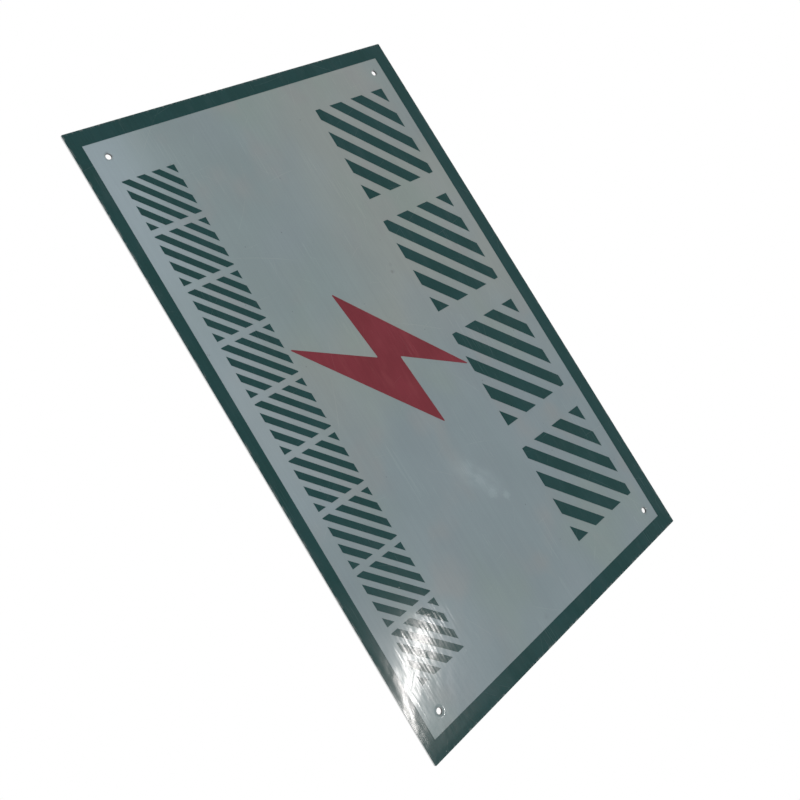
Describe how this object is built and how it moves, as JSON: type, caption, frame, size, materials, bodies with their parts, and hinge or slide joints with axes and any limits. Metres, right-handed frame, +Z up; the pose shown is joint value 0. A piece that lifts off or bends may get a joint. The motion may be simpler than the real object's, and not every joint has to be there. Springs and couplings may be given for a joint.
{
  "type": "high voltage warning sign",
  "caption": "Flat rectangular metal warning sign with a pale face, dark border, red lightning bolt, rows of striped blocks and a fixing hole in each corner.",
  "frame": {"origin": "centre of the back mounting face, at the middle of the four fixing holes", "axes": "the sign is upright: +Z up, +X to the right as the sign is read, and the printed face looks along -Y; +Y points out of the back into what carries the sign"},
  "size_m": [0.6, 0.0019, 0.4],
  "materials": {
    "plate_metal": "mill finish, rolled along the long edge, sheared edges",
    "pale_sheeting": "glossy bonded sheeting with faint streaks, a little dirt and waviness",
    "dark_green_film": "glossy film",
    "red_film": "glossy film"
  },
  "bodies": {
    "root": {"plate": "plate_metal", "sheeting": "pale_sheeting", "border": "dark_green_film", "bolt": "red_film", "upper_blocks": "dark_green_film", "lower_blocks": "dark_green_film"}
  },
  "joints": []
}
